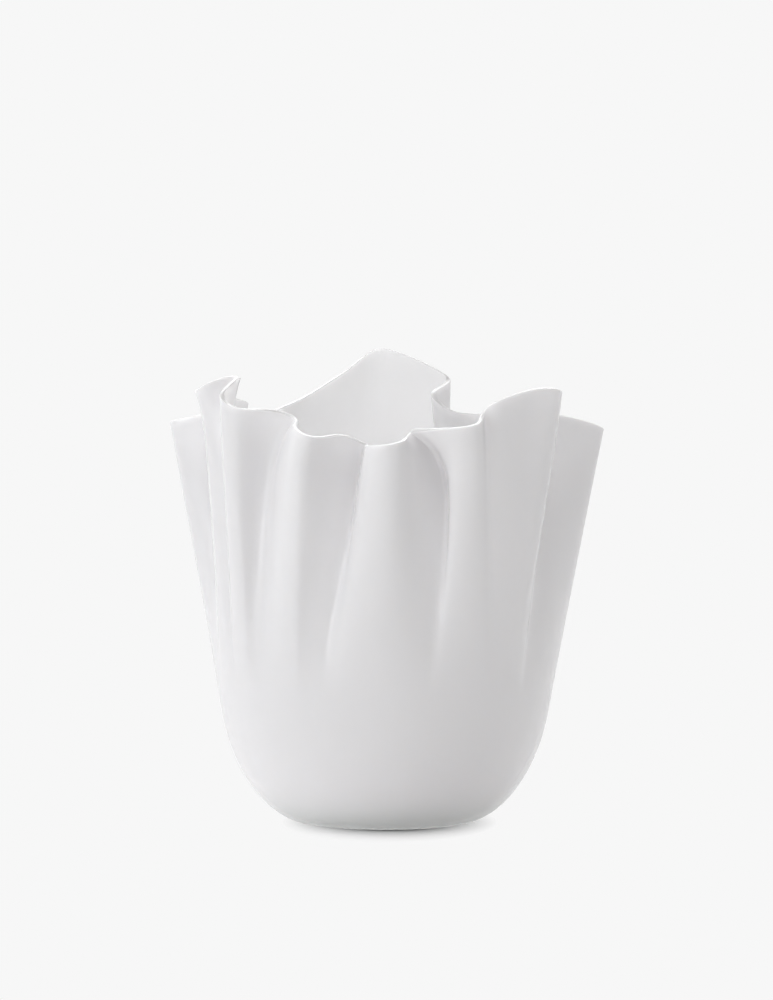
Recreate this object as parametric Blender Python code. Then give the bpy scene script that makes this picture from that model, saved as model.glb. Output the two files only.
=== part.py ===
"""Handkerchief vase: one sheet of opal glass, blown as a bowl whose wall drops into folds below a wavy rim."""

import math
from dataclasses import astuple, dataclass

import bmesh
import bpy
import numpy as np
from mathutils import Vector
from mathutils.geometry import interpolate_bezier

# Driving dimensions of the blown bowl, in metres
VASE_HEIGHT = 0.310
FOOT_RADIUS = 0.050
BOWL_RADIUS = 0.109
BOWL_HEIGHT = 0.074
FOOT_ROUNDING = 0.028
BOWL_ROUNDING = 0.040
SIDE_FLARE = math.radians(10.4)
BASE_WALL = 0.007
SIDE_WALL = 0.003
RIM_ROUNDING = 0.0012

# How the folds leave the bowl and open towards the rim
ROOT_HEIGHT = 0.085
FOLD_GROWTH = 1.7
LIP_SHARPNESS = 16
BEND_LENGTH = 0.008

# Facets
COLUMNS = 160
FOOT_ROWS = 1
BOWL_ROWS = 5
FOLD_ROWS = 9
RIM_SEGMENTS = 2
CURVE_STEP = 0.001
BEND_SHARE = 0.010
SAME_PLACE = 1e-6

# Shading
SHARP_EDGE = math.radians(40)
RIM_EDGE = math.radians(60)
OPAL_WHITE = (0.86, 0.86, 0.87, 1.0)
OPAL_ROUGHNESS = 0.35


# One lap round the vase, added to a fold's angle and root
LAP = np.array((360, 0, 0, 360, 0, 0), float)


@dataclass
class Fold:
    """A line of the wall, from its root on the bowl to the rim. Angles in degrees, lengths in metres.

    angle: place of its rim point round the vase, from +X towards +Y
    pull: how far the rim point is drawn in from the bowl's straight side
    drop: how far the rim point lies below the highest one
    root: place of its root round the bowl
    swing, tuck: how far the wall under a turned-out lip lies further round and further in
    """

    angle: float
    pull: float
    drop: float
    root: float
    swing: float = 0
    tuck: float = 0


# The folds in order round the vase, seen from above: right, back, left, front
FOLDS = (
    # Right tip
    Fold(2, -0.003, 0.048, 0),
    Fold(9, 0.016, 0.049, 5),
    Fold(14, 0.044, 0.050, 11),
    Fold(20, 0.020, 0.052, 17),
    # Back right ridge
    Fold(26, 0.006, 0.050, 24),
    Fold(33, 0.018, 0.047, 31),
    Fold(38, 0.044, 0.046, 38),
    Fold(45, 0.020, 0.045, 46),
    # Ridge behind the right of the back peak
    Fold(51, 0.010, 0.045, 52),
    Fold(57, 0.030, 0.043, 57),
    Fold(62, 0.056, 0.038, 62),
    Fold(67, 0.060, 0.030, 67),
    Fold(68, 0.040, 0.024, 71),
    Fold(69, 0.024, 0.020, 75),
    # Back peak, a broad panel
    Fold(75, 0.028, 0.012, 81),
    Fold(84, 0.028, 0.004, 88),
    Fold(91, 0.026, 0.000, 94),
    Fold(104, 0.030, 0.016, 105),
    Fold(119, 0.034, 0.031, 118),
    Fold(134, 0.044, 0.037, 132),
    # Back left ridge
    Fold(143, 0.018, 0.050, 142),
    Fold(149, 0.010, 0.055, 148),
    Fold(155, 0.022, 0.057, 154),
    Fold(160, 0.048, 0.056, 161),
    Fold(168, 0.018, 0.048, 168),
    # Left tip
    Fold(177, 0.000, 0.043, 174),
    Fold(181, 0.022, 0.038, 181),
    Fold(182, 0.054, 0.029, 190),
    Fold(190, 0.034, 0.024, 198),
    # Left corner
    Fold(197, 0.018, 0.021, 203, tuck=0.006),
    Fold(201, 0.014, 0.019, 205, tuck=0.007),
    Fold(204, 0.020, 0.014, 207, tuck=0.004),
    Fold(204, 0.044, 0.009, 209, swing=6, tuck=-0.012),
    Fold(209, 0.030, 0.015, 211, swing=2, tuck=-0.005),
    # Broad ridge right of the left corner
    Fold(213, 0.018, 0.021, 213),
    Fold(218, 0.016, 0.027, 215, swing=-3),
    Fold(222, 0.020, 0.029, 216, swing=-4),
    Fold(226, 0.031, 0.030, 217, swing=-6),
    Fold(230, 0.040, 0.032, 218, swing=-8, tuck=0.002),
    Fold(234, 0.043, 0.035, 220, swing=-11, tuck=0.006),
    # Front left ridge
    Fold(239, 0.028, 0.038, 227, swing=-6),
    Fold(244, 0.016, 0.042, 233, swing=-4),
    Fold(248, 0.014, 0.045, 238, swing=-3),
    Fold(251, 0.024, 0.046, 241, swing=-1, tuck=0.002),
    Fold(254, 0.032, 0.045, 244, tuck=0.006),
    Fold(258, 0.037, 0.047, 246, tuck=0.009),
    Fold(262, 0.046, 0.052, 248, swing=-1, tuck=0.006),
    # Front ridge
    Fold(264, 0.026, 0.051, 256),
    Fold(267, 0.014, 0.050, 262),
    Fold(272, 0.009, 0.049, 267),
    Fold(276, 0.015, 0.047, 272),
    Fold(277, 0.026, 0.045, 277, swing=3, tuck=0.003),
    Fold(279, 0.042, 0.043, 286, swing=14, tuck=0.005),
    # Front right ridge
    Fold(281, 0.028, 0.042, 289, swing=10, tuck=-0.001),
    Fold(287, 0.016, 0.040, 292, swing=3, tuck=0.001),
    Fold(293, 0.008, 0.038, 298),
    Fold(297, 0.008, 0.036, 303),
    Fold(300, 0.018, 0.032, 307),
    Fold(302, 0.023, 0.026, 309),
    # Right corner
    Fold(304, 0.020, 0.023, 310),
    Fold(309, 0.018, 0.019, 312),
    Fold(316, 0.010, 0.015, 314),
    Fold(322, 0.004, 0.016, 316),
    Fold(331, 0.020, 0.023, 321),
    Fold(342, 0.052, 0.033, 327),
    Fold(352, 0.022, 0.038, 342),
)


def side_radius(height):
    return BOWL_RADIUS + (height - BOWL_HEIGHT) * math.tan(SIDE_FLARE)


def bowl_profile():
    """Radius and height of the round bottom, from the centre of the foot to the straight side."""
    slope = Vector((math.sin(SIDE_FLARE), 0, math.cos(SIDE_FLARE)))
    foot = Vector((FOOT_RADIUS, 0, 0))
    side = Vector((BOWL_RADIUS, 0, BOWL_HEIGHT))
    foot_handle = foot + Vector((FOOT_ROUNDING, 0, 0))
    side_handle = side - slope * BOWL_ROUNDING
    curve = interpolate_bezier(foot, foot_handle, side_handle, side, BOWL_ROWS + 1)
    flat = [(FOOT_RADIUS * row / FOOT_ROWS, 0) for row in range(FOOT_ROWS)]
    return flat + [(point.x, point.z) for point in curve]


def rim_point(line):
    angle, pull, drop, *_ = line
    height = VASE_HEIGHT - drop
    radius = side_radius(height) - pull
    turn = math.radians(angle)
    return np.array((radius * math.cos(turn), radius * math.sin(turn), height))


def rim_curve():
    """The values of the rim, on a closed smooth curve through the folds."""
    knots = np.array([astuple(fold) for fold in FOLDS], float)
    knots = np.vstack((knots[-1] - LAP, knots, knots[0] + LAP, knots[1] + LAP))
    points = [rim_point(knot) for knot in knots]
    lengths = [np.linalg.norm(end - start) for start, end in zip(points, points[1:])]
    slopes = [(end - start) / length for start, end, length in zip(knots, knots[1:], lengths)]
    curve = []
    for index in range(1, len(knots) - 2):
        span = lengths[index]
        leaving = tangent(slopes, lengths, index) * span
        arriving = tangent(slopes, lengths, index + 1) * span
        steps = math.ceil(span / CURVE_STEP)
        for step in range(steps):
            curve.append(hermite(knots[index], knots[index + 1], leaving, arriving, step / steps))
    return np.array(curve)


def tangent(slopes, lengths, index):
    before, after = lengths[index - 1], lengths[index]
    return (slopes[index - 1] * after + slopes[index] * before) / (before + after)


def hermite(start, end, leaving, arriving, t):
    return (
        start * (2 * t**3 - 3 * t**2 + 1)
        + leaving * (t**3 - 2 * t**2 + t)
        + end * (3 * t**2 - 2 * t**3)
        + arriving * (t**3 - t**2)
    )


def soften(curve):
    """Rounds each fold, as hot glass does, by averaging the curve over the length of a bend."""
    reach = round(2 * BEND_LENGTH / CURVE_STEP)
    along = np.arange(-reach, reach + 1) * CURVE_STEP / BEND_LENGTH
    weights = np.exp(-2 * along**2)
    padded = np.vstack((curve[-reach:] - LAP, curve, curve[:reach] + LAP))
    return np.column_stack([np.convolve(values, weights / weights.sum(), "valid") for values in padded.T])


def fold_lines(columns=COLUMNS):
    """The values of every column of the wall, closest together where the rim bends most."""
    curve = soften(rim_curve())
    _, _, drops, *_ = curve.T
    drops -= drops.min()
    curve = np.vstack((curve, curve[0] + LAP))
    points = np.array([rim_point(line) for line in curve])
    steps = np.diff(points, axis=0)
    lengths = np.linalg.norm(steps, axis=1)
    headings = np.unwrap(np.arctan2(steps[:, 1], steps[:, 0]))
    bends = np.abs(np.diff(headings, append=headings[0] + math.tau))
    walked = np.concatenate(([0], np.cumsum(lengths + BEND_SHARE * bends)))
    stops = np.linspace(0, walked[-1], columns, endpoint=False)
    return np.column_stack([np.interp(stops, walked, values) for values in curve.T])


def wall_point(line, share):
    """A point of one column, at this share of the way from its root to the rim."""
    angle, pull, drop, root, swing, tuck = line
    height = ROOT_HEIGHT + (VASE_HEIGHT - drop - ROOT_HEIGHT) * share
    lip = share**LIP_SHARPNESS
    drawn_in = (pull + tuck) * share**FOLD_GROWTH - tuck * lip
    turned = root + (angle + swing - root) * share**2 * (3 - 2 * share) - swing * lip
    radius = side_radius(height) - drawn_in
    turn = math.radians(turned)
    return Vector((radius * math.cos(turn), radius * math.sin(turn), height))


def bowl_point(line, radius, height):
    _, _, _, root, *_ = line
    turn = math.radians(root)
    return Vector((radius * math.cos(turn), radius * math.sin(turn), height))


def spin_blank(profile, columns):
    """The blown blank: its profile spun about the upright axis, with each vertex keeping its row."""
    bm = bmesh.new()
    row_of = bm.verts.layers.int.new("row")
    verts = []
    for row, (radius, height) in enumerate(profile):
        vert = bm.verts.new((radius, 0, height))
        vert[row_of] = row
        verts.append(vert)
    edges = [bm.edges.new(pair) for pair in zip(verts, verts[1:])]
    bmesh.ops.spin(
        bm, geom=verts + edges, cent=(0, 0, 0), axis=(0, 0, 1), angle=math.tau, steps=columns, use_merge=True
    )
    bmesh.ops.remove_doubles(bm, verts=bm.verts, dist=SAME_PLACE)
    bmesh.ops.recalc_face_normals(bm, faces=bm.faces)
    return bm


def fold_blank(bm, bowl, lines):
    """Moves each vertex of the spun blank to its place on the folded wall."""
    row_of = bm.verts.layers.int["row"]
    for vert in bm.verts:
        column = round(math.atan2(vert.co.y, vert.co.x) / math.tau * len(lines)) % len(lines)
        row = vert[row_of]
        if row < len(bowl):
            vert.co = bowl_point(lines[column], *bowl[row])
        else:
            vert.co = wall_point(lines[column], (row - len(bowl)) / FOLD_ROWS)


def opal_glass():
    material = bpy.data.materials.new("opal_glass")
    material.use_nodes = True
    shader = material.node_tree.nodes["Principled BSDF"]
    shader.inputs["Base Color"].default_value = OPAL_WHITE
    shader.inputs["Roughness"].default_value = OPAL_ROUGHNESS
    shader.inputs["Metallic"].default_value = 0
    return material


def add_wall(obj):
    """Gives the sheet its thickness, inwards, growing from the side to the base."""
    base = obj.vertex_groups.new(name="base")
    for vert in obj.data.vertices:
        reach = math.hypot(vert.co.x, vert.co.y)
        low = max(0, 1 - vert.co.z / BOWL_HEIGHT)
        base.add([vert.index], low if reach > FOOT_RADIUS else 1, "REPLACE")
    wall = obj.modifiers.new("Wall", "SOLIDIFY")
    wall.thickness = BASE_WALL
    wall.offset = -1
    wall.use_even_offset = True
    wall.vertex_group = base.name
    wall.thickness_vertex_group = SIDE_WALL / BASE_WALL


def round_rim(obj):
    """Melts the two edges of the rim round."""
    bevel = obj.modifiers.new("Rim", "BEVEL")
    bevel.width = RIM_ROUNDING
    bevel.segments = RIM_SEGMENTS
    bevel.limit_method = "ANGLE"
    bevel.angle_limit = RIM_EDGE


def make_vase():
    lines = fold_lines()
    bowl = bowl_profile()
    heights = np.linspace(ROOT_HEIGHT, VASE_HEIGHT, FOLD_ROWS + 1)
    profile = bowl + [(side_radius(height), height) for height in heights]
    bm = spin_blank(profile, len(lines))
    fold_blank(bm, bowl, lines)
    mesh = bpy.data.meshes.new("vase")
    bm.to_mesh(mesh)
    bm.free()
    mesh.shade_smooth()
    mesh.set_sharp_from_angle(angle=SHARP_EDGE)
    mesh.materials.append(opal_glass())
    vase = bpy.data.objects.new("vase", mesh)
    bpy.context.scene.collection.objects.link(vase)
    add_wall(vase)
    round_rim(vase)
    return vase


def main():
    for obj in list(bpy.data.objects):
        bpy.data.objects.remove(obj, do_unlink=True)
    make_vase()


main()
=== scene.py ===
"""Handkerchief vase of opal white glass, folded, glazed and set on a pale studio floor."""

import math
from dataclasses import astuple, dataclass

import bmesh
import bpy
import numpy as np
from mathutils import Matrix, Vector
from mathutils.geometry import interpolate_bezier


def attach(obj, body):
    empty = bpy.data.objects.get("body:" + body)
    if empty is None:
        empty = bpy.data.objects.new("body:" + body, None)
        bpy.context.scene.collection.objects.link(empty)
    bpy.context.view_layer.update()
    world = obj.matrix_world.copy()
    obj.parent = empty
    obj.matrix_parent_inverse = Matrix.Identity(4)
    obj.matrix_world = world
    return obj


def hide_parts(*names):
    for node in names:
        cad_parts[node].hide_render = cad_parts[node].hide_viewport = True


bl_info = {
    "name": "Handkerchief vase",
    "version": (1, 0, 0),
    "blender": (4, 5, 0),
    "location": "3D View > Sidebar > Vase",
    "description": "Folds a vase of opal glass and sets it on a studio floor",
    "category": "Object",
}

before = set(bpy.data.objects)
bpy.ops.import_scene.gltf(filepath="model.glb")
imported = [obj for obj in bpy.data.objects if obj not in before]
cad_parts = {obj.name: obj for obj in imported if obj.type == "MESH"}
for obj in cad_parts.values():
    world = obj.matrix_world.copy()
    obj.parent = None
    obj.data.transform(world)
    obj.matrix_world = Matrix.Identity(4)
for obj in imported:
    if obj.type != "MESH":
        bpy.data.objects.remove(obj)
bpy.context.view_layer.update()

# Facets of the glass and the floor, and the distance in metres at which doubles merge
FOOT_ROWS = 2
RIM_SEGMENTS = 3
RIM_EDGE = math.radians(60)
FLOOR_SIDES = 96
MERGE = 1e-6

# Steps along the rim, and the length that a radian of bend counts as when columns are shared out, in metres
CURVE_STEP = 0.001
BEND_ADDS = 0.006

# The bell that rounds the folds: its reach to each side, in bend lengths, and its steepness
BELL_REACH = 2
BELL_STEEPNESS = 2

# Places of the inside's and the rim's glass after the outside's
INSIDE = 1
RIM = 2

# Sockets of a Mix node that mixes colours, and of a Mix Shader node
MIX_SHARE = 0
MIX_LOW = 6
MIX_HIGH = 7
MIX_COLOUR = 2
SHADER_LOW = 1
SHADER_HIGH = 2

# Patterns in the glass: scales are per metre, heights and depths in metres
NOISE_MIDDLE = 0.5
CLOUD_SCALE = 9
CLOUD_PALENESS = 1.02
BASE_TINT_HEIGHT = 0.035
# Ripples run four times as far up the wall as round it
RIPPLE_STRETCH = (1.0, 1.0, 0.25)
RIPPLE_SCALE = 28
OUTSIDE_RIPPLE = 0.0006
INSIDE_RIPPLE = 0.0009
GRAIN_SCALE = 900
GRAIN_HEIGHT = 0.00001
POLISH_SCALE = 35
ROUGHNESS_DRIFT = 0.08
GLASS_IOR = 1.5

# How milky the glass is, how deep light scatters into it, and the red, green and blue shares of that depth
MILKINESS = 0.85
OUTSIDE_MILK_DEPTH = 0.007
INSIDE_MILK_DEPTH = 0.016
MILK_SPREAD = (1.0, 0.97, 0.94)

# Floor paint
FLOOR_PAINT = (0.92, 0.92, 0.92, 1)

# Where the floor shows the contact shadow, in metres: its core and fade reach further from front to back
SHADOW_SHIFT = (-0.003, 0, 0)
SHADOW_STRETCH = (1.0, 0.56, 1.0)
SHADOW_CORE = 0.032
SHADOW_FADE = 0.040

# Lamps, with the point they all face, and the camera's reach, in metres
LAMP_AIM = (0, 0, 0.15)
KEY_PLACE = (-2.1, -1.6, 0.9)
KEY_SIZE = (1.8, 1.5)
TOP_PLACE = (-0.1, -0.45, 2.6)
TOP_SIZE = (1.8, 1.8)
BACK_PLACE = (0, 1.9, 1.7)
BACK_SIZE = (1.8, 1.2)
SIDE_PLACE = (-1.5, 0.6, 2.2)
SIDE_SIZE = (1.6, 1.6)
LEFT_EDGE_PLACE = (-2.2, 1.6, 0.9)
RIGHT_EDGE_PLACE = (2.2, 1.6, 0.9)
EDGE_SIZE = (1.0, 1.6)
COOL_WHITE = (0.97, 0.985, 1.0)
WARM_WHITE = (1.0, 0.972, 0.962)
CAMERA_REACH = 100

GROUPS = (("vase_sizes", "vase.fold_glass"), ("glass_finish", ""), ("stage_settings", "vase.dress_stage"))

# A fold's values in a row of the rim's curve: angle, pull, drop, root, swing, tuck
DROP = 2
ROOT = 3

# One lap round the vase, added to a fold's angle and root
LAP = np.array((360, 0, 0, 360, 0, 0), float)


@dataclass
class Fold:
    """A line of the wall, from its root on the bowl to the rim. Angles in degrees, lengths in metres.

    angle: place of its rim point round the vase, from +X towards +Y
    pull: how far the rim point is drawn in from the bowl's straight side
    drop: how far the rim point lies below the highest one
    root: place of its root round the bowl
    swing, tuck: how far the wall under a turned-out lip lies further round and further in
    """

    angle: float
    pull: float
    drop: float
    root: float
    swing: float = 0
    tuck: float = 0


# The folds in order round the vase, seen from above: right, back, left, front
FOLDS = (
    # Right tip
    Fold(2, -0.003, 0.048, 0),
    Fold(9, 0.016, 0.049, 5),
    Fold(14, 0.044, 0.050, 11),
    Fold(20, 0.020, 0.052, 17),
    # Back right ridge
    Fold(26, 0.006, 0.050, 24),
    Fold(33, 0.018, 0.047, 31),
    Fold(38, 0.044, 0.046, 38),
    Fold(45, 0.020, 0.045, 46),
    # Ridge behind the right of the back peak
    Fold(51, 0.010, 0.045, 52),
    Fold(57, 0.030, 0.043, 57),
    Fold(62, 0.056, 0.038, 62),
    Fold(67, 0.060, 0.030, 67),
    Fold(68, 0.040, 0.024, 71),
    Fold(69, 0.024, 0.020, 75),
    # Back peak, a broad panel
    Fold(75, 0.028, 0.012, 81),
    Fold(84, 0.028, 0.004, 88),
    Fold(91, 0.026, 0.000, 94),
    Fold(104, 0.030, 0.016, 105),
    Fold(119, 0.034, 0.031, 118),
    Fold(134, 0.044, 0.037, 132),
    # Back left ridge
    Fold(143, 0.018, 0.050, 142),
    Fold(149, 0.010, 0.055, 148),
    Fold(155, 0.022, 0.057, 154),
    Fold(160, 0.048, 0.056, 161),
    Fold(168, 0.018, 0.048, 168),
    # Left tip
    Fold(177, 0.000, 0.043, 174),
    Fold(181, 0.022, 0.038, 181),
    Fold(182, 0.054, 0.029, 190),
    Fold(190, 0.034, 0.024, 198),
    # Left corner
    Fold(197, 0.018, 0.021, 203, tuck=0.006),
    Fold(201, 0.014, 0.019, 205, tuck=0.007),
    Fold(204, 0.020, 0.014, 207, tuck=0.004),
    Fold(204, 0.044, 0.009, 209, swing=6, tuck=-0.012),
    Fold(209, 0.030, 0.015, 211, swing=2, tuck=-0.005),
    # Broad ridge right of the left corner
    Fold(213, 0.018, 0.021, 213),
    Fold(218, 0.017, 0.027, 216, swing=-2, tuck=-0.002),
    Fold(222, 0.021, 0.029, 218, swing=-2, tuck=-0.003),
    Fold(226, 0.031, 0.030, 219.5, swing=-5.5, tuck=-0.001),
    Fold(230, 0.041, 0.032, 222, swing=-9.5, tuck=0.003),
    Fold(234, 0.045, 0.035, 225, swing=-11.5, tuck=0.004),
    # Front left ridge
    Fold(239, 0.029, 0.038, 230, swing=-6.5, tuck=0.003),
    Fold(244, 0.016, 0.042, 235, swing=-3),
    Fold(248, 0.014, 0.045, 239, swing=-3),
    Fold(251, 0.024, 0.046, 241, swing=-2, tuck=0.006),
    Fold(254, 0.032, 0.045, 243, swing=-2, tuck=0.010),
    Fold(258, 0.037, 0.047, 246, swing=-2, tuck=0.016),
    Fold(262, 0.046, 0.052, 249, swing=-3, tuck=0.014),
    # Front ridge
    Fold(264, 0.026, 0.051, 256, swing=-2),
    Fold(267, 0.014, 0.050, 262, swing=-1),
    Fold(272, 0.009, 0.049, 268),
    Fold(276, 0.015, 0.047, 275),
    Fold(277, 0.026, 0.045, 281, swing=4, tuck=0.004),
    Fold(279, 0.038, 0.043, 285, swing=15, tuck=0.008),
    # Front right ridge
    Fold(281, 0.027, 0.042, 288, swing=11, tuck=0.003),
    Fold(286.5, 0.018, 0.040, 292, swing=3.5),
    Fold(290, 0.011, 0.039, 295, swing=1, tuck=0.001),
    Fold(293, 0.008, 0.038, 298),
    Fold(297, 0.008, 0.036, 303, tuck=-0.002),
    Fold(300, 0.018, 0.032, 306.5, tuck=-0.006),
    Fold(302, 0.023, 0.026, 308.5, swing=-1, tuck=-0.010),
    # Right corner
    Fold(304, 0.020, 0.023, 309.5, swing=-1, tuck=-0.008),
    Fold(309, 0.018, 0.019, 312, tuck=-0.006),
    Fold(316, 0.010, 0.015, 314.5, swing=1, tuck=0.002),
    Fold(322, 0.004, 0.016, 317, swing=2, tuck=0.004),
    Fold(331, 0.020, 0.023, 321),
    Fold(342, 0.052, 0.033, 327),
    Fold(352, 0.022, 0.038, 342),
)


class VaseSizes(bpy.types.PropertyGroup):
    """Sizes of the blown bowl and of the folds."""

    vase_height: bpy.props.FloatProperty(
        name="Height", description="Height of the highest fold", default=0.310, unit="LENGTH"
    )
    foot_radius: bpy.props.FloatProperty(
        name="Foot radius", description="Radius of the flat ground foot", default=0.050, unit="LENGTH"
    )
    bowl_radius: bpy.props.FloatProperty(
        name="Bowl radius", description="Radius where the round bottom meets the side", default=0.109,
        unit="LENGTH",
    )
    bowl_height: bpy.props.FloatProperty(
        name="Bowl height", description="Height where the round bottom meets the side", default=0.074,
        unit="LENGTH",
    )
    foot_rounding: bpy.props.FloatProperty(
        name="Foot rounding", description="Reach of the curve that leaves the foot", default=0.028,
        unit="LENGTH",
    )
    bowl_rounding: bpy.props.FloatProperty(
        name="Bowl rounding", description="Reach of the curve that meets the side", default=0.040,
        unit="LENGTH",
    )
    side_flare: bpy.props.FloatProperty(
        name="Side flare", description="Slope of the straight side from upright", default=math.radians(10.4),
        subtype="ANGLE",
    )
    base_wall: bpy.props.FloatProperty(
        name="Base wall", description="Thickness of the glass under the bowl", default=0.007, unit="LENGTH"
    )
    side_wall: bpy.props.FloatProperty(
        name="Side wall", description="Thickness of the folded glass", default=0.003, unit="LENGTH"
    )
    rim_rounding: bpy.props.FloatProperty(
        name="Rim rounding", description="Radius that the melted rim is rounded to", default=0.0012,
        unit="LENGTH",
    )
    root_height: bpy.props.FloatProperty(
        name="Root height", description="Height where the folds leave the bowl", default=0.085, unit="LENGTH"
    )
    fold_growth: bpy.props.FloatProperty(
        name="Fold growth", description="How late the folds deepen on their way up", default=1.45
    )
    lip_sharpness: bpy.props.FloatProperty(
        name="Lip sharpness", description="How close to the rim a turned-out lip starts", default=12
    )
    bend_length: bpy.props.FloatProperty(
        name="Bend length", description="Length of rim over which hot glass rounds a fold", default=0.008,
        unit="LENGTH",
    )
    columns: bpy.props.IntProperty(name="Columns", description="Faces round the wall", default=480)
    bowl_rows: bpy.props.IntProperty(name="Bowl rows", description="Faces up the round bottom", default=22)
    fold_rows: bpy.props.IntProperty(name="Fold rows", description="Faces up the folded wall", default=40)


class GlassFinish(bpy.types.PropertyGroup):
    """Colours and polish of the opal glass, with painted light in the inside's paler colour and painted shade
    in the rim's darker one.
    """

    outside_white: bpy.props.FloatVectorProperty(
        name="Outside white", description="Colour of the glass outside", size=4, subtype="COLOR",
        default=(0.85, 0.842, 0.852, 1),
    )
    # Darker grey than the glass: painted shade along the rounded edge of the rim
    rim_painted_shade: bpy.props.FloatVectorProperty(
        name="Rim painted shade", description="Colour of the melted rim, darkened as painted shade", size=4, subtype="COLOR",
        default=(0.56, 0.555, 0.56, 1),
    )
    # Paler than the outside's colour: painted light that brightens the inside of the vase
    inside_painted_light: bpy.props.FloatVectorProperty(
        name="Inside painted light", description="Colour of the glass inside, paler as painted light", size=4, subtype="COLOR",
        default=(0.96, 0.95, 0.96, 1),
    )
    base_tint: bpy.props.FloatVectorProperty(
        name="Base tint", description="Colour where the glass is thickest", size=4, subtype="COLOR",
        default=(0.83, 0.85, 0.835, 1),
    )
    outside_roughness: bpy.props.FloatProperty(
        name="Outside roughness", description="Roughness of the satin outside", default=0.24, subtype="FACTOR"
    )
    inside_roughness: bpy.props.FloatProperty(
        name="Inside roughness", description="Roughness of the glossy inside", default=0.12, subtype="FACTOR"
    )
    rim_roughness: bpy.props.FloatProperty(
        name="Rim roughness", description="Roughness of the fire-polished rim", default=0.30, subtype="FACTOR"
    )


class StageSettings(bpy.types.PropertyGroup):
    """Floor, lamps and camera."""

    floor_radius: bpy.props.FloatProperty(
        name="Floor radius", description="Radius of the round floor", default=3.0, unit="LENGTH"
    )
    pale_grey: bpy.props.FloatVectorProperty(
        name="Pale grey", description="Colour of the floor and of the air round it", size=4, subtype="COLOR",
        default=(0.930, 0.930, 0.930, 1),
    )
    air_strength: bpy.props.FloatProperty(
        name="Air strength", description="Brightness of the air as a light", default=0.25
    )
    key_power: bpy.props.FloatProperty(
        name="Key power", description="Power of the lamp in front on the left", default=19.5, unit="POWER"
    )
    top_power: bpy.props.FloatProperty(
        name="Top power", description="Power of the lamp overhead", default=28, unit="POWER"
    )
    back_power: bpy.props.FloatProperty(
        name="Back power", description="Power of the lamp above the back", default=24, unit="POWER"
    )
    side_power: bpy.props.FloatProperty(
        name="Side power", description="Power of the lamp high on the left", default=15, unit="POWER"
    )
    edge_power: bpy.props.FloatProperty(
        name="Edge power", description="Power of each lamp behind", default=5, unit="POWER"
    )
    camera_distance: bpy.props.FloatProperty(
        name="Camera distance", description="Distance in front of the vase", default=6.0, unit="LENGTH"
    )
    camera_height: bpy.props.FloatProperty(
        name="Camera height", description="Height above the floor", default=0.638, unit="LENGTH"
    )
    aim_height: bpy.props.FloatProperty(
        name="Aim height", description="Height that the camera looks at", default=0.2155, unit="LENGTH"
    )
    aim_right: bpy.props.FloatProperty(
        name="Aim right", description="How far right of the vase's axis the camera looks", default=0.001,
        unit="LENGTH",
    )
    lens: bpy.props.FloatProperty(name="Lens", description="Focal length in millimetres", default=324.7)


class Value:
    """A node's output, with Python's operators adding the Math nodes."""

    def __init__(self, nodes, socket):
        self.nodes = nodes
        self.socket = socket

    def maths(self, operation, *values):
        return self.nodes.add("ShaderNodeMath", {"operation": operation}, dict(enumerate(values)))

    def __add__(self, other):
        return self.maths("ADD", self, other)

    def __radd__(self, other):
        return self.maths("ADD", other, self)

    def __sub__(self, other):
        return self.maths("SUBTRACT", self, other)

    def __rsub__(self, other):
        return self.maths("SUBTRACT", other, self)

    def __mul__(self, other):
        return self.maths("MULTIPLY", self, other)

    def __rmul__(self, other):
        return self.maths("MULTIPLY", other, self)

    def __truediv__(self, other):
        return self.maths("DIVIDE", self, other)

    def __rtruediv__(self, other):
        return self.maths("DIVIDE", other, self)

    def clamped(self):
        return self.nodes.add("ShaderNodeClamp", {}, {"Value": self})

    def beside(self, name):
        """Another output of the same node."""
        return Value(self.nodes, self.socket.node.outputs[name])


class Nodes:
    """The node tree of one material, world or lamp."""

    def __init__(self, owner):
        owner.use_nodes = True
        self.tree = owner.node_tree
        self.tree.nodes.clear()

    def add(self, kind, settings, inputs, output=0):
        node = self.tree.nodes.new(kind)
        for name, value in settings.items():
            setattr(node, name, value)
        for name, value in inputs.items():
            self.feed(node.inputs[name], value)
        return Value(self, node.outputs[output]) if node.outputs else None

    def feed(self, socket, value):
        if isinstance(value, Value):
            self.tree.links.new(value.socket, socket)
        else:
            socket.default_value = value

    def noise(self, place, scale, detail=2, roughness=0.5):
        sockets = {"Vector": place, "Scale": scale, "Detail": detail, "Roughness": roughness}
        return self.add("ShaderNodeTexNoise", {}, sockets)

    def mix_colours(self, share, low, high):
        sockets = {MIX_SHARE: share, MIX_LOW: low, MIX_HIGH: high}
        return self.add("ShaderNodeMix", {"data_type": "RGBA"}, sockets, output=MIX_COLOUR)


def side_radius(sizes, height):
    return sizes.bowl_radius + (height - sizes.bowl_height) * math.tan(sizes.side_flare)


def bowl_profile(sizes):
    """Radius and height of the round bottom, from the centre of the foot to the straight side."""
    slope = Vector((math.sin(sizes.side_flare), 0, math.cos(sizes.side_flare)))
    foot = Vector((sizes.foot_radius, 0, 0))
    side = Vector((sizes.bowl_radius, 0, sizes.bowl_height))
    foot_handle = foot + Vector((sizes.foot_rounding, 0, 0))
    side_handle = side - slope * sizes.bowl_rounding
    curve = interpolate_bezier(foot, foot_handle, side_handle, side, sizes.bowl_rows + 1)
    flat = [(sizes.foot_radius * row / FOOT_ROWS, 0) for row in range(FOOT_ROWS)]
    return flat + [(point.x, point.z) for point in curve]


def rim_point(sizes, values):
    angle, pull, drop, *_ = values
    height = sizes.vase_height - drop
    radius = side_radius(sizes, height) - pull
    turn = math.radians(angle)
    return np.array((radius * math.cos(turn), radius * math.sin(turn), height))


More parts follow.
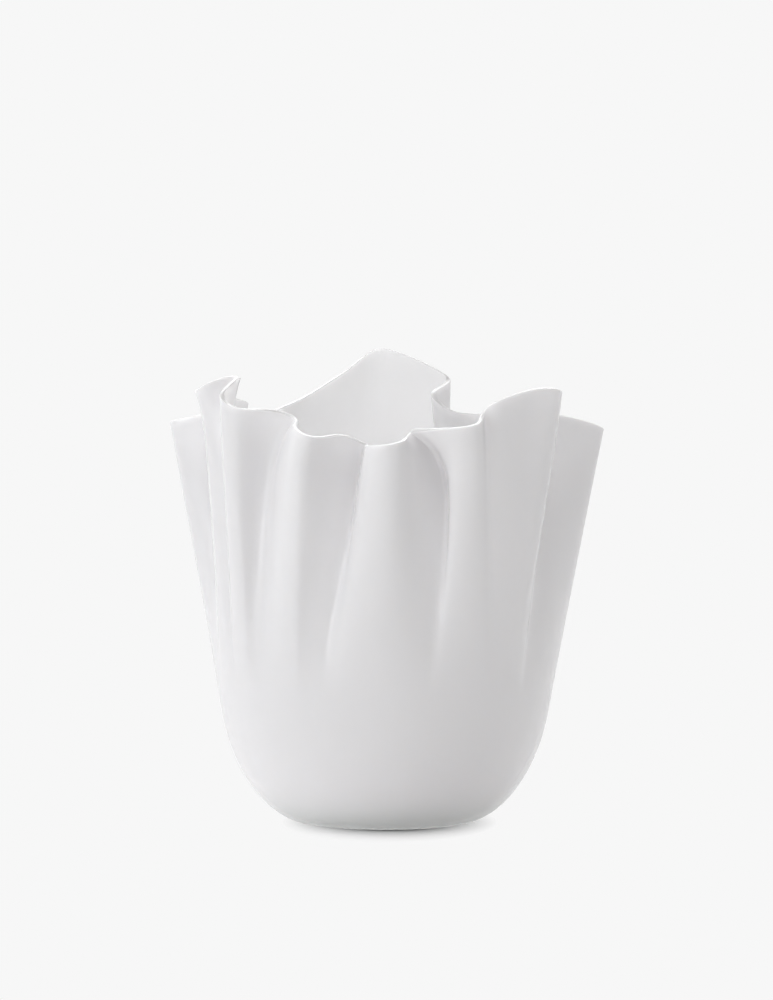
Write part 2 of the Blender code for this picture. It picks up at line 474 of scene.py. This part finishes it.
def rim_curve(sizes):
    """The values of the rim, on a closed smooth curve through the folds."""
    knots = np.array([astuple(fold) for fold in FOLDS], float)
    knots = np.vstack((knots[-1] - LAP, knots, knots[0] + LAP, knots[1] + LAP))
    points = [rim_point(sizes, knot) for knot in knots]
    lengths = [np.linalg.norm(end - start) for start, end in zip(points, points[1:])]
    slopes = [(end - start) / length for start, end, length in zip(knots, knots[1:], lengths)]
    curve = []
    for index in range(1, len(knots) - 2):
        span = lengths[index]
        leaving = tangent(slopes, lengths, index) * span
        arriving = tangent(slopes, lengths, index + 1) * span
        steps = math.ceil(span / CURVE_STEP)
        for step in range(steps):
            curve.append(hermite(knots[index], knots[index + 1], leaving, arriving, step / steps))
    return np.array(curve)


def tangent(slopes, lengths, index):
    before, after = lengths[index - 1], lengths[index]
    return (slopes[index - 1] * after + slopes[index] * before) / (before + after)


def hermite(start, end, leaving, arriving, t):
    return (
        start * (2 * t**3 - 3 * t**2 + 1)
        + leaving * (t**3 - 2 * t**2 + t)
        + end * (3 * t**2 - 2 * t**3)
        + arriving * (t**3 - t**2)
    )


def soften(sizes, curve):
    """Rounds each fold, as hot glass does, by averaging the curve over the length of a bend."""
    reach = round(BELL_REACH * sizes.bend_length / CURVE_STEP)
    along = np.arange(-reach, reach + 1) * CURVE_STEP / sizes.bend_length
    weights = np.exp(-BELL_STEEPNESS * along**2)
    padded = np.vstack((curve[-reach:] - LAP, curve, curve[:reach] + LAP))
    return np.column_stack([np.convolve(values, weights / weights.sum(), "valid") for values in padded.T])


def fold_lines(sizes):
    """The values of every column of the wall, closest together where the rim bends most."""
    curve = soften(sizes, rim_curve(sizes))
    # The highest fold reaches the vase's full height
    curve[:, DROP] -= curve[:, DROP].min()
    curve = np.vstack((curve, curve[0] + LAP))
    points = np.array([rim_point(sizes, values) for values in curve])
    steps = np.diff(points, axis=0)
    lengths = np.linalg.norm(steps, axis=1)
    headings = np.unwrap(np.arctan2(steps[:, 1], steps[:, 0]))
    bends = np.abs(np.diff(headings, append=headings[0] + math.tau))
    walked = np.concatenate(([0], np.cumsum(lengths + BEND_ADDS * bends)))
    stops = np.linspace(0, walked[-1], sizes.columns, endpoint=False)
    return np.column_stack([np.interp(stops, walked, values) for values in curve.T])


def wall_point(sizes, line, share):
    """A point of one column, at this share of the way from its root to the rim."""
    angle, pull, drop, root, swing, tuck = line
    height = sizes.root_height + (sizes.vase_height - drop - sizes.root_height) * share
    lip = share**sizes.lip_sharpness
    drawn_in = (pull + tuck) * share**sizes.fold_growth - tuck * lip
    turned = root + (angle + swing - root) * share**2 * (3 - 2 * share) - swing * lip
    return place_round(turned, side_radius(sizes, height) - drawn_in, height)


def place_round(angle, radius, height):
    turn = math.radians(angle)
    return Vector((radius * math.cos(turn), radius * math.sin(turn), height))


def spin_blank(profile, columns):
    """The blown blank: its profile spun about the upright axis, with each vertex keeping its row."""
    bm = bmesh.new()
    row_of = bm.verts.layers.int.new("row")
    verts = []
    for row, (radius, height) in enumerate(profile):
        vert = bm.verts.new((radius, 0, height))
        vert[row_of] = row
        verts.append(vert)
    edges = [bm.edges.new(pair) for pair in zip(verts, verts[1:])]
    bmesh.ops.spin(
        bm, geom=verts + edges, cent=(0, 0, 0), axis=(0, 0, 1), angle=math.tau, steps=columns, use_merge=True
    )
    bmesh.ops.remove_doubles(bm, verts=bm.verts, dist=MERGE)
    bmesh.ops.recalc_face_normals(bm, faces=bm.faces)
    return bm


def fold_blank(bm, sizes, bowl, lines):
    """Moves each vertex of the spun blank to its place on the folded wall."""
    row_of = bm.verts.layers.int["row"]
    for vert in bm.verts:
        line = lines[round(math.atan2(vert.co.y, vert.co.x) / math.tau * len(lines)) % len(lines)]
        row = vert[row_of]
        if row < len(bowl):
            radius, height = bowl[row]
            vert.co = place_round(line[ROOT], radius, height)
        else:
            vert.co = wall_point(sizes, line, (row - len(bowl)) / sizes.fold_rows)


def add_wall(piece, sizes):
    """Gives the sheet its thickness, inwards, growing from the side to the base."""
    base = piece.vertex_groups.new(name="base")
    for vert in piece.data.vertices:
        reach = math.hypot(vert.co.x, vert.co.y)
        low = max(0, 1 - vert.co.z / sizes.bowl_height)
        base.add([vert.index], low if reach > sizes.foot_radius else 1, "REPLACE")
    wall = piece.modifiers.new("Wall", "SOLIDIFY")
    wall.thickness = sizes.base_wall
    wall.offset = -1
    wall.use_even_offset = True
    wall.vertex_group = base.name
    wall.thickness_vertex_group = sizes.side_wall / sizes.base_wall
    wall.material_offset = INSIDE
    wall.material_offset_rim = RIM


def round_rim(piece, sizes):
    """Melts the two edges of the rim round."""
    bevel = piece.modifiers.new("Rim", "BEVEL")
    bevel.width = sizes.rim_rounding
    bevel.segments = RIM_SEGMENTS
    bevel.limit_method = "ANGLE"
    bevel.angle_limit = RIM_EDGE


def paler(colour):
    red, green, blue, alpha = colour
    return red * CLOUD_PALENESS, green * CLOUD_PALENESS, blue * CLOUD_PALENESS, alpha


def opal_glass(name, finish, white, roughness, ripple, depth):
    """Opal glass: milky colour that drifts a little, a greener base, and the faint ripples of blown glass."""
    material = bpy.data.materials.new(name)
    nodes = Nodes(material)
    place = nodes.add("ShaderNodeTexCoord", {}, {}, output="Object")
    height = nodes.add("ShaderNodeSeparateXYZ", {}, {"Vector": place}, output="Z")
    cloud = nodes.noise(place, CLOUD_SCALE)
    milk = nodes.mix_colours(cloud, tuple(white), paler(white))
    low = (1 - height / BASE_TINT_HEIGHT).clamped()
    colour = nodes.mix_colours(low * low, milk, tuple(finish.base_tint))
    drawn = nodes.add("ShaderNodeMapping", {}, {"Vector": place, "Scale": RIPPLE_STRETCH})
    waves = nodes.noise(drawn, RIPPLE_SCALE, detail=3)
    grain = nodes.noise(place, GRAIN_SCALE, detail=2)
    polish = roughness + (nodes.noise(place, POLISH_SCALE) - NOISE_MIDDLE) * ROUGHNESS_DRIFT
    relief = waves * ripple + grain * GRAIN_HEIGHT
    bump = nodes.add("ShaderNodeBump", {}, {"Strength": 1.0, "Distance": 1.0, "Height": relief})
    shader = nodes.add(
        "ShaderNodeBsdfPrincipled",
        {},
        {
            "Base Color": colour,
            "Roughness": polish,
            "Normal": bump,
            "IOR": GLASS_IOR,
            "Subsurface Weight": MILKINESS,
            "Subsurface Scale": depth,
            "Subsurface Radius": MILK_SPREAD,
        },
    )
    nodes.add("ShaderNodeOutputMaterial", {}, {"Surface": shader})
    return material


def floor_paint(settings):
    """A matt floor, lit where it shows the vase's contact shadow, and as pale as the air elsewhere."""
    material = bpy.data.materials.new("pale_floor")
    nodes = Nodes(material)
    place = nodes.add("ShaderNodeTexCoord", {}, {}, output="Object")
    sockets = {"Vector": place, "Location": SHADOW_SHIFT, "Scale": SHADOW_STRETCH}
    drawn = nodes.add("ShaderNodeMapping", {}, sockets)
    away = nodes.add("ShaderNodeVectorMath", {"operation": "LENGTH"}, {"Vector": drawn}, output="Value")
    seen = nodes.add("ShaderNodeLightPath", {}, {}, output="Is Camera Ray")
    matt = nodes.add("ShaderNodeBsdfDiffuse", {}, {"Color": FLOOR_PAINT})
    glow = nodes.add("ShaderNodeEmission", {}, {"Color": tuple(settings.pale_grey), "Strength": 1.0})
    mirrored = seen.beside("Is Glossy Ray") + seen.beside("Is Transmission Ray")
    share = (((away - SHADOW_CORE) / SHADOW_FADE).clamped() * seen + mirrored).clamped()
    surface = nodes.add("ShaderNodeMixShader", {}, {MIX_SHARE: share, SHADER_LOW: matt, SHADER_HIGH: glow})
    nodes.add("ShaderNodeOutputMaterial", {}, {"Surface": surface})
    return material


def pale_air(settings):
    """The world: pale to the camera and in reflections, softer as a light."""
    world = bpy.data.worlds.new("pale_air")
    nodes = Nodes(world)
    seen = nodes.add("ShaderNodeLightPath", {}, {}, output="Is Camera Ray")
    shown = (seen + seen.beside("Is Glossy Ray") + seen.beside("Is Transmission Ray")).clamped()
    strength = settings.air_strength + shown * (1 - settings.air_strength)
    sockets = {"Color": tuple(settings.pale_grey), "Strength": strength}
    background = nodes.add("ShaderNodeBackground", {}, sockets)
    nodes.add("ShaderNodeOutputWorld", {}, {"Surface": background})
    return world


def add_lamp(name, place, aim, size, power, colour):
    lamp = bpy.data.lights.new(name, "AREA")
    lamp.shape = "RECTANGLE"
    lamp.size, lamp.size_y = size
    lamp.energy = power
    lamp.color = colour
    holder = bpy.data.objects.new(name, lamp)
    holder.location = place
    holder.rotation_euler = (Vector(aim) - Vector(place)).to_track_quat("-Z", "Y").to_euler()
    bpy.context.scene.collection.objects.link(holder)


def add_camera(settings):
    camera = bpy.data.cameras.new("camera")
    camera.lens = settings.lens
    camera.clip_end = CAMERA_REACH
    holder = bpy.data.objects.new("camera", camera)
    place = Vector((settings.aim_right, -settings.camera_distance, settings.camera_height))
    aim = Vector((settings.aim_right, 0, settings.aim_height))
    holder.location = place
    holder.rotation_euler = (aim - place).to_track_quat("-Z", "Y").to_euler()
    bpy.context.scene.collection.objects.link(holder)
    bpy.context.scene.camera = holder


def new_piece(name, bm, materials):
    mesh = bpy.data.meshes.new(name)
    bm.to_mesh(mesh)
    bm.free()
    mesh.shade_smooth()
    for material in materials:
        mesh.materials.append(material)
    piece = bpy.data.objects.new(name, mesh)
    bpy.context.scene.collection.objects.link(piece)
    return piece


class VASE_OT_fold_glass(bpy.types.Operator):
    """Spin the bowl, fold its wall and give it its glass"""

    bl_idname = "vase.fold_glass"
    bl_label = "Fold the glass"

    def execute(self, context):
        sizes, finish = context.scene.vase_sizes, context.scene.glass_finish
        lines = fold_lines(sizes)
        bowl = bowl_profile(sizes)
        heights = np.linspace(sizes.root_height, sizes.vase_height, sizes.fold_rows + 1)
        profile = bowl + [(side_radius(sizes, height), height) for height in heights]
        bm = spin_blank(profile, len(lines))
        fold_blank(bm, sizes, bowl, lines)
        outside = (finish.outside_white, finish.outside_roughness, OUTSIDE_RIPPLE, OUTSIDE_MILK_DEPTH)
        # The inside's paler colour is painted light
        inside = (finish.inside_painted_light, finish.inside_roughness, INSIDE_RIPPLE, INSIDE_MILK_DEPTH)
        # The rim's darker colour is painted shade
        rim = (finish.rim_painted_shade, finish.rim_roughness, INSIDE_RIPPLE, OUTSIDE_MILK_DEPTH)
        glass = [
            opal_glass("opal_outside", finish, *outside),
            opal_glass("opal_inside", finish, *inside),
            opal_glass("opal_rim", finish, *rim),
        ]
        piece = new_piece("folded_glass", bm, glass)
        add_wall(piece, sizes)
        round_rim(piece, sizes)
        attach(piece, "root")
        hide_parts("vase")
        return {"FINISHED"}


class VASE_OT_dress_stage(bpy.types.Operator):
    """Lay the floor, hang the lamps and set the camera"""

    bl_idname = "vase.dress_stage"
    bl_label = "Dress the stage"

    def execute(self, context):
        settings = context.scene.stage_settings
        bm = bmesh.new()
        bmesh.ops.create_circle(bm, cap_ends=True, segments=FLOOR_SIDES, radius=settings.floor_radius)
        floor = new_piece("floor", bm, [floor_paint(settings)])
        context.scene.world = pale_air(settings)
        add_lamp("key", KEY_PLACE, LAMP_AIM, KEY_SIZE, settings.key_power, COOL_WHITE)
        add_lamp("top", TOP_PLACE, LAMP_AIM, TOP_SIZE, settings.top_power, WARM_WHITE)
        add_lamp("back", BACK_PLACE, LAMP_AIM, BACK_SIZE, settings.back_power, COOL_WHITE)
        add_lamp("side", SIDE_PLACE, LAMP_AIM, SIDE_SIZE, settings.side_power, COOL_WHITE)
        add_lamp("left_edge", LEFT_EDGE_PLACE, LAMP_AIM, EDGE_SIZE, settings.edge_power, COOL_WHITE)
        add_lamp("right_edge", RIGHT_EDGE_PLACE, LAMP_AIM, EDGE_SIZE, settings.edge_power, WARM_WHITE)
        add_camera(settings)
        context.scene.view_settings.view_transform = "Standard"
        return {"FINISHED"}


class VASE_PT_sidebar(bpy.types.Panel):
    """Sizes, finish and stage of the vase"""

    bl_idname = "VASE_PT_sidebar"
    bl_label = "Handkerchief vase"
    bl_space_type = "VIEW_3D"
    bl_region_type = "UI"
    bl_category = "Vase"

    def draw(self, context):
        scene = context.scene
        for group, operator in GROUPS:
            box = self.layout.box()
            settings = getattr(scene, group)
            for name in settings.__annotations__:
                box.prop(settings, name)
            if operator:
                box.operator(operator)


CLASSES = (
    VaseSizes,
    GlassFinish,
    StageSettings,
    VASE_OT_fold_glass,
    VASE_OT_dress_stage,
    VASE_PT_sidebar,
)


def register():
    for cls in CLASSES:
        bpy.utils.register_class(cls)
    bpy.types.Scene.vase_sizes = bpy.props.PointerProperty(type=VaseSizes)
    bpy.types.Scene.glass_finish = bpy.props.PointerProperty(type=GlassFinish)
    bpy.types.Scene.stage_settings = bpy.props.PointerProperty(type=StageSettings)


def unregister():
    del bpy.types.Scene.stage_settings
    del bpy.types.Scene.glass_finish
    del bpy.types.Scene.vase_sizes
    for cls in reversed(CLASSES):
        bpy.utils.unregister_class(cls)


def main():
    register()
    bpy.ops.vase.fold_glass()
    bpy.ops.vase.dress_stage()


if __name__ == "__main__":
    main()
